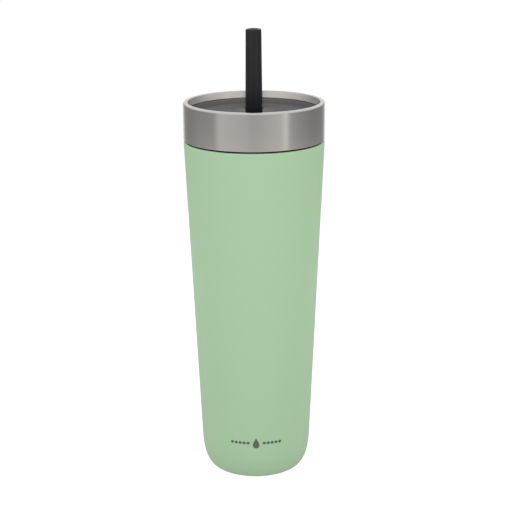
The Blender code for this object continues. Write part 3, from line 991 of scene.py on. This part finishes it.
def make_world():
    """A white studio: grey surroundings with two soft bands either side of the camera."""
    world = bpy.data.worlds.new("studio")
    bpy.context.scene.world = world
    world.use_nodes = True
    tree = world.node_tree
    tree.nodes.clear()
    coords = tree.nodes.new("ShaderNodeTexCoord")
    parts = tree.nodes.new("ShaderNodeSeparateXYZ")
    tree.links.new(coords.outputs["Generated"], parts.inputs["Vector"])
    towards = math_node(tree, "MULTIPLY", parts.outputs["Y"], -1.0)
    azimuth = math_node(tree, "ARCTAN2", parts.outputs["X"], towards)
    turn = math_node(tree, "DIVIDE", azimuth, 2 * math.pi)
    where = math_node(tree, "ADD", turn, 0.5)
    ramp = tree.nodes.new("ShaderNodeValToRGB")
    stops = ramp.color_ramp.elements
    for index, (angle, level) in enumerate(HORIZON):
        place_at = (angle + 180) / 360
        stop = stops[index] if index < 2 else stops.new(place_at)
        stop.position = place_at
        stop.color = (level, level, level, 1)
    tree.links.new(where, ramp.inputs["Fac"])
    up = parts.outputs["Z"]
    risen = sloped(tree, up, SKY_FADE, (0.0, 1.0))
    high = sloped(tree, up, CEILING_FADE, (SKY_LIGHT, CEILING_LIGHT))
    sky = tree.nodes.new("ShaderNodeMix")
    sky.data_type = "RGBA"
    tree.links.new(risen, sky.inputs["Factor"])
    tree.links.new(ramp.outputs["Color"], sky.inputs["A"])
    tree.links.new(high, sky.inputs["B"])
    around = tree.nodes.new("ShaderNodeBackground")
    tree.links.new(sky.outputs["Result"], around.inputs["Color"])
    backdrop = tree.nodes.new("ShaderNodeBackground")
    backdrop.inputs["Color"].default_value = (1, 1, 1, 1)
    output = tree.nodes.new("ShaderNodeOutputWorld")
    light_fork(tree, backdrop.outputs[0], around.outputs[0], output.inputs["Surface"])


def make_floor():
    """A round pale tabletop that runs out into the white backdrop; the glow it lights the object with is
    dimmer near the object, a painted shadow.
    """
    made = bpy.data.materials.new("pale_floor")
    made.use_nodes = True
    tree = made.node_tree
    tree.nodes.clear()
    matt = tree.nodes.new("ShaderNodeBsdfDiffuse")
    matt.inputs["Color"].default_value = (FLOOR_SEEN_GREY, FLOOR_SEEN_GREY, FLOOR_SEEN_GREY, 1)
    glow = tree.nodes.new("ShaderNodeEmission")
    glow.inputs["Strength"].default_value = FLOOR_SEEN_GLOW
    lit = tree.nodes.new("ShaderNodeAddShader")
    tree.links.new(matt.outputs[0], lit.inputs[0])
    tree.links.new(glow.outputs[0], lit.inputs[1])
    coords = tree.nodes.new("ShaderNodeTexCoord")
    away = tree.nodes.new("ShaderNodeVectorMath")
    away.operation = "LENGTH"
    tree.links.new(coords.outputs["Object"], away.inputs[0])
    # Painted shadow: the glow that lights the object drops towards the object, as if the object shaded
    # the floor
    shade = sloped(tree, away.outputs["Value"], FLOOR_FADE, (FLOOR_PAINTED_SHADOW_GLOW, FLOOR_FAR))
    soft = tree.nodes.new("ShaderNodeEmission")
    tree.links.new(shade, soft.inputs["Strength"])
    output = tree.nodes.new("ShaderNodeOutputMaterial")
    light_fork(tree, lit.outputs[0], soft.outputs[0], output.inputs["Surface"])
    floor = turned("floor", [(0.0, -FLOOR_DROP), (FLOOR_RADIUS, -FLOOR_DROP)], made, 128)


def make_soft_boxes():
    """Broad lights either side of the camera that light the paint and leave no mark in the steel."""
    for index, (degrees, height, watts) in enumerate(SOFT_BOXES):
        made = bpy.data.lights.new(f"soft_box_{index}", "AREA")
        made.shape = "SQUARE"
        made.size = SOFT_BOX_SIZE
        made.energy = watts
        box = bpy.data.objects.new(f"soft_box_{index}", made)
        azimuth = math.radians(degrees)
        place_at = Vector((math.sin(azimuth), -math.cos(azimuth), 0.0)) * SOFT_BOX_DISTANCE
        place_at.z = height
        box.location = place_at
        box.rotation_euler = (place_at - SOFT_BOX_AIM).to_track_quat("Z", "Y").to_euler()
        box.visible_glossy = False
        bpy.context.scene.collection.objects.link(box)


CAMERA_PLACE = (0.00069, -0.801, 0.3731)
CAMERA_PITCH = math.radians(16.172)
CAMERA_ROLL = math.radians(0.362)
CAMERA_LENS = 91.62


def make_camera():
    made = bpy.data.cameras.new("camera")
    made.lens = CAMERA_LENS
    made.sensor_width = 36.0
    camera = bpy.data.objects.new("camera", made)
    tilt = Matrix.Rotation(math.pi / 2 - CAMERA_PITCH, 4, "X") @ Matrix.Rotation(-CAMERA_ROLL, 4, "Z")
    camera.matrix_world = Matrix.Translation(CAMERA_PLACE) @ tilt
    bpy.context.scene.collection.objects.link(camera)
    bpy.context.scene.camera = camera


make_object()
make_world()
make_floor()
make_soft_boxes()
make_camera()
bpy.context.scene.view_settings.view_transform = "Standard"
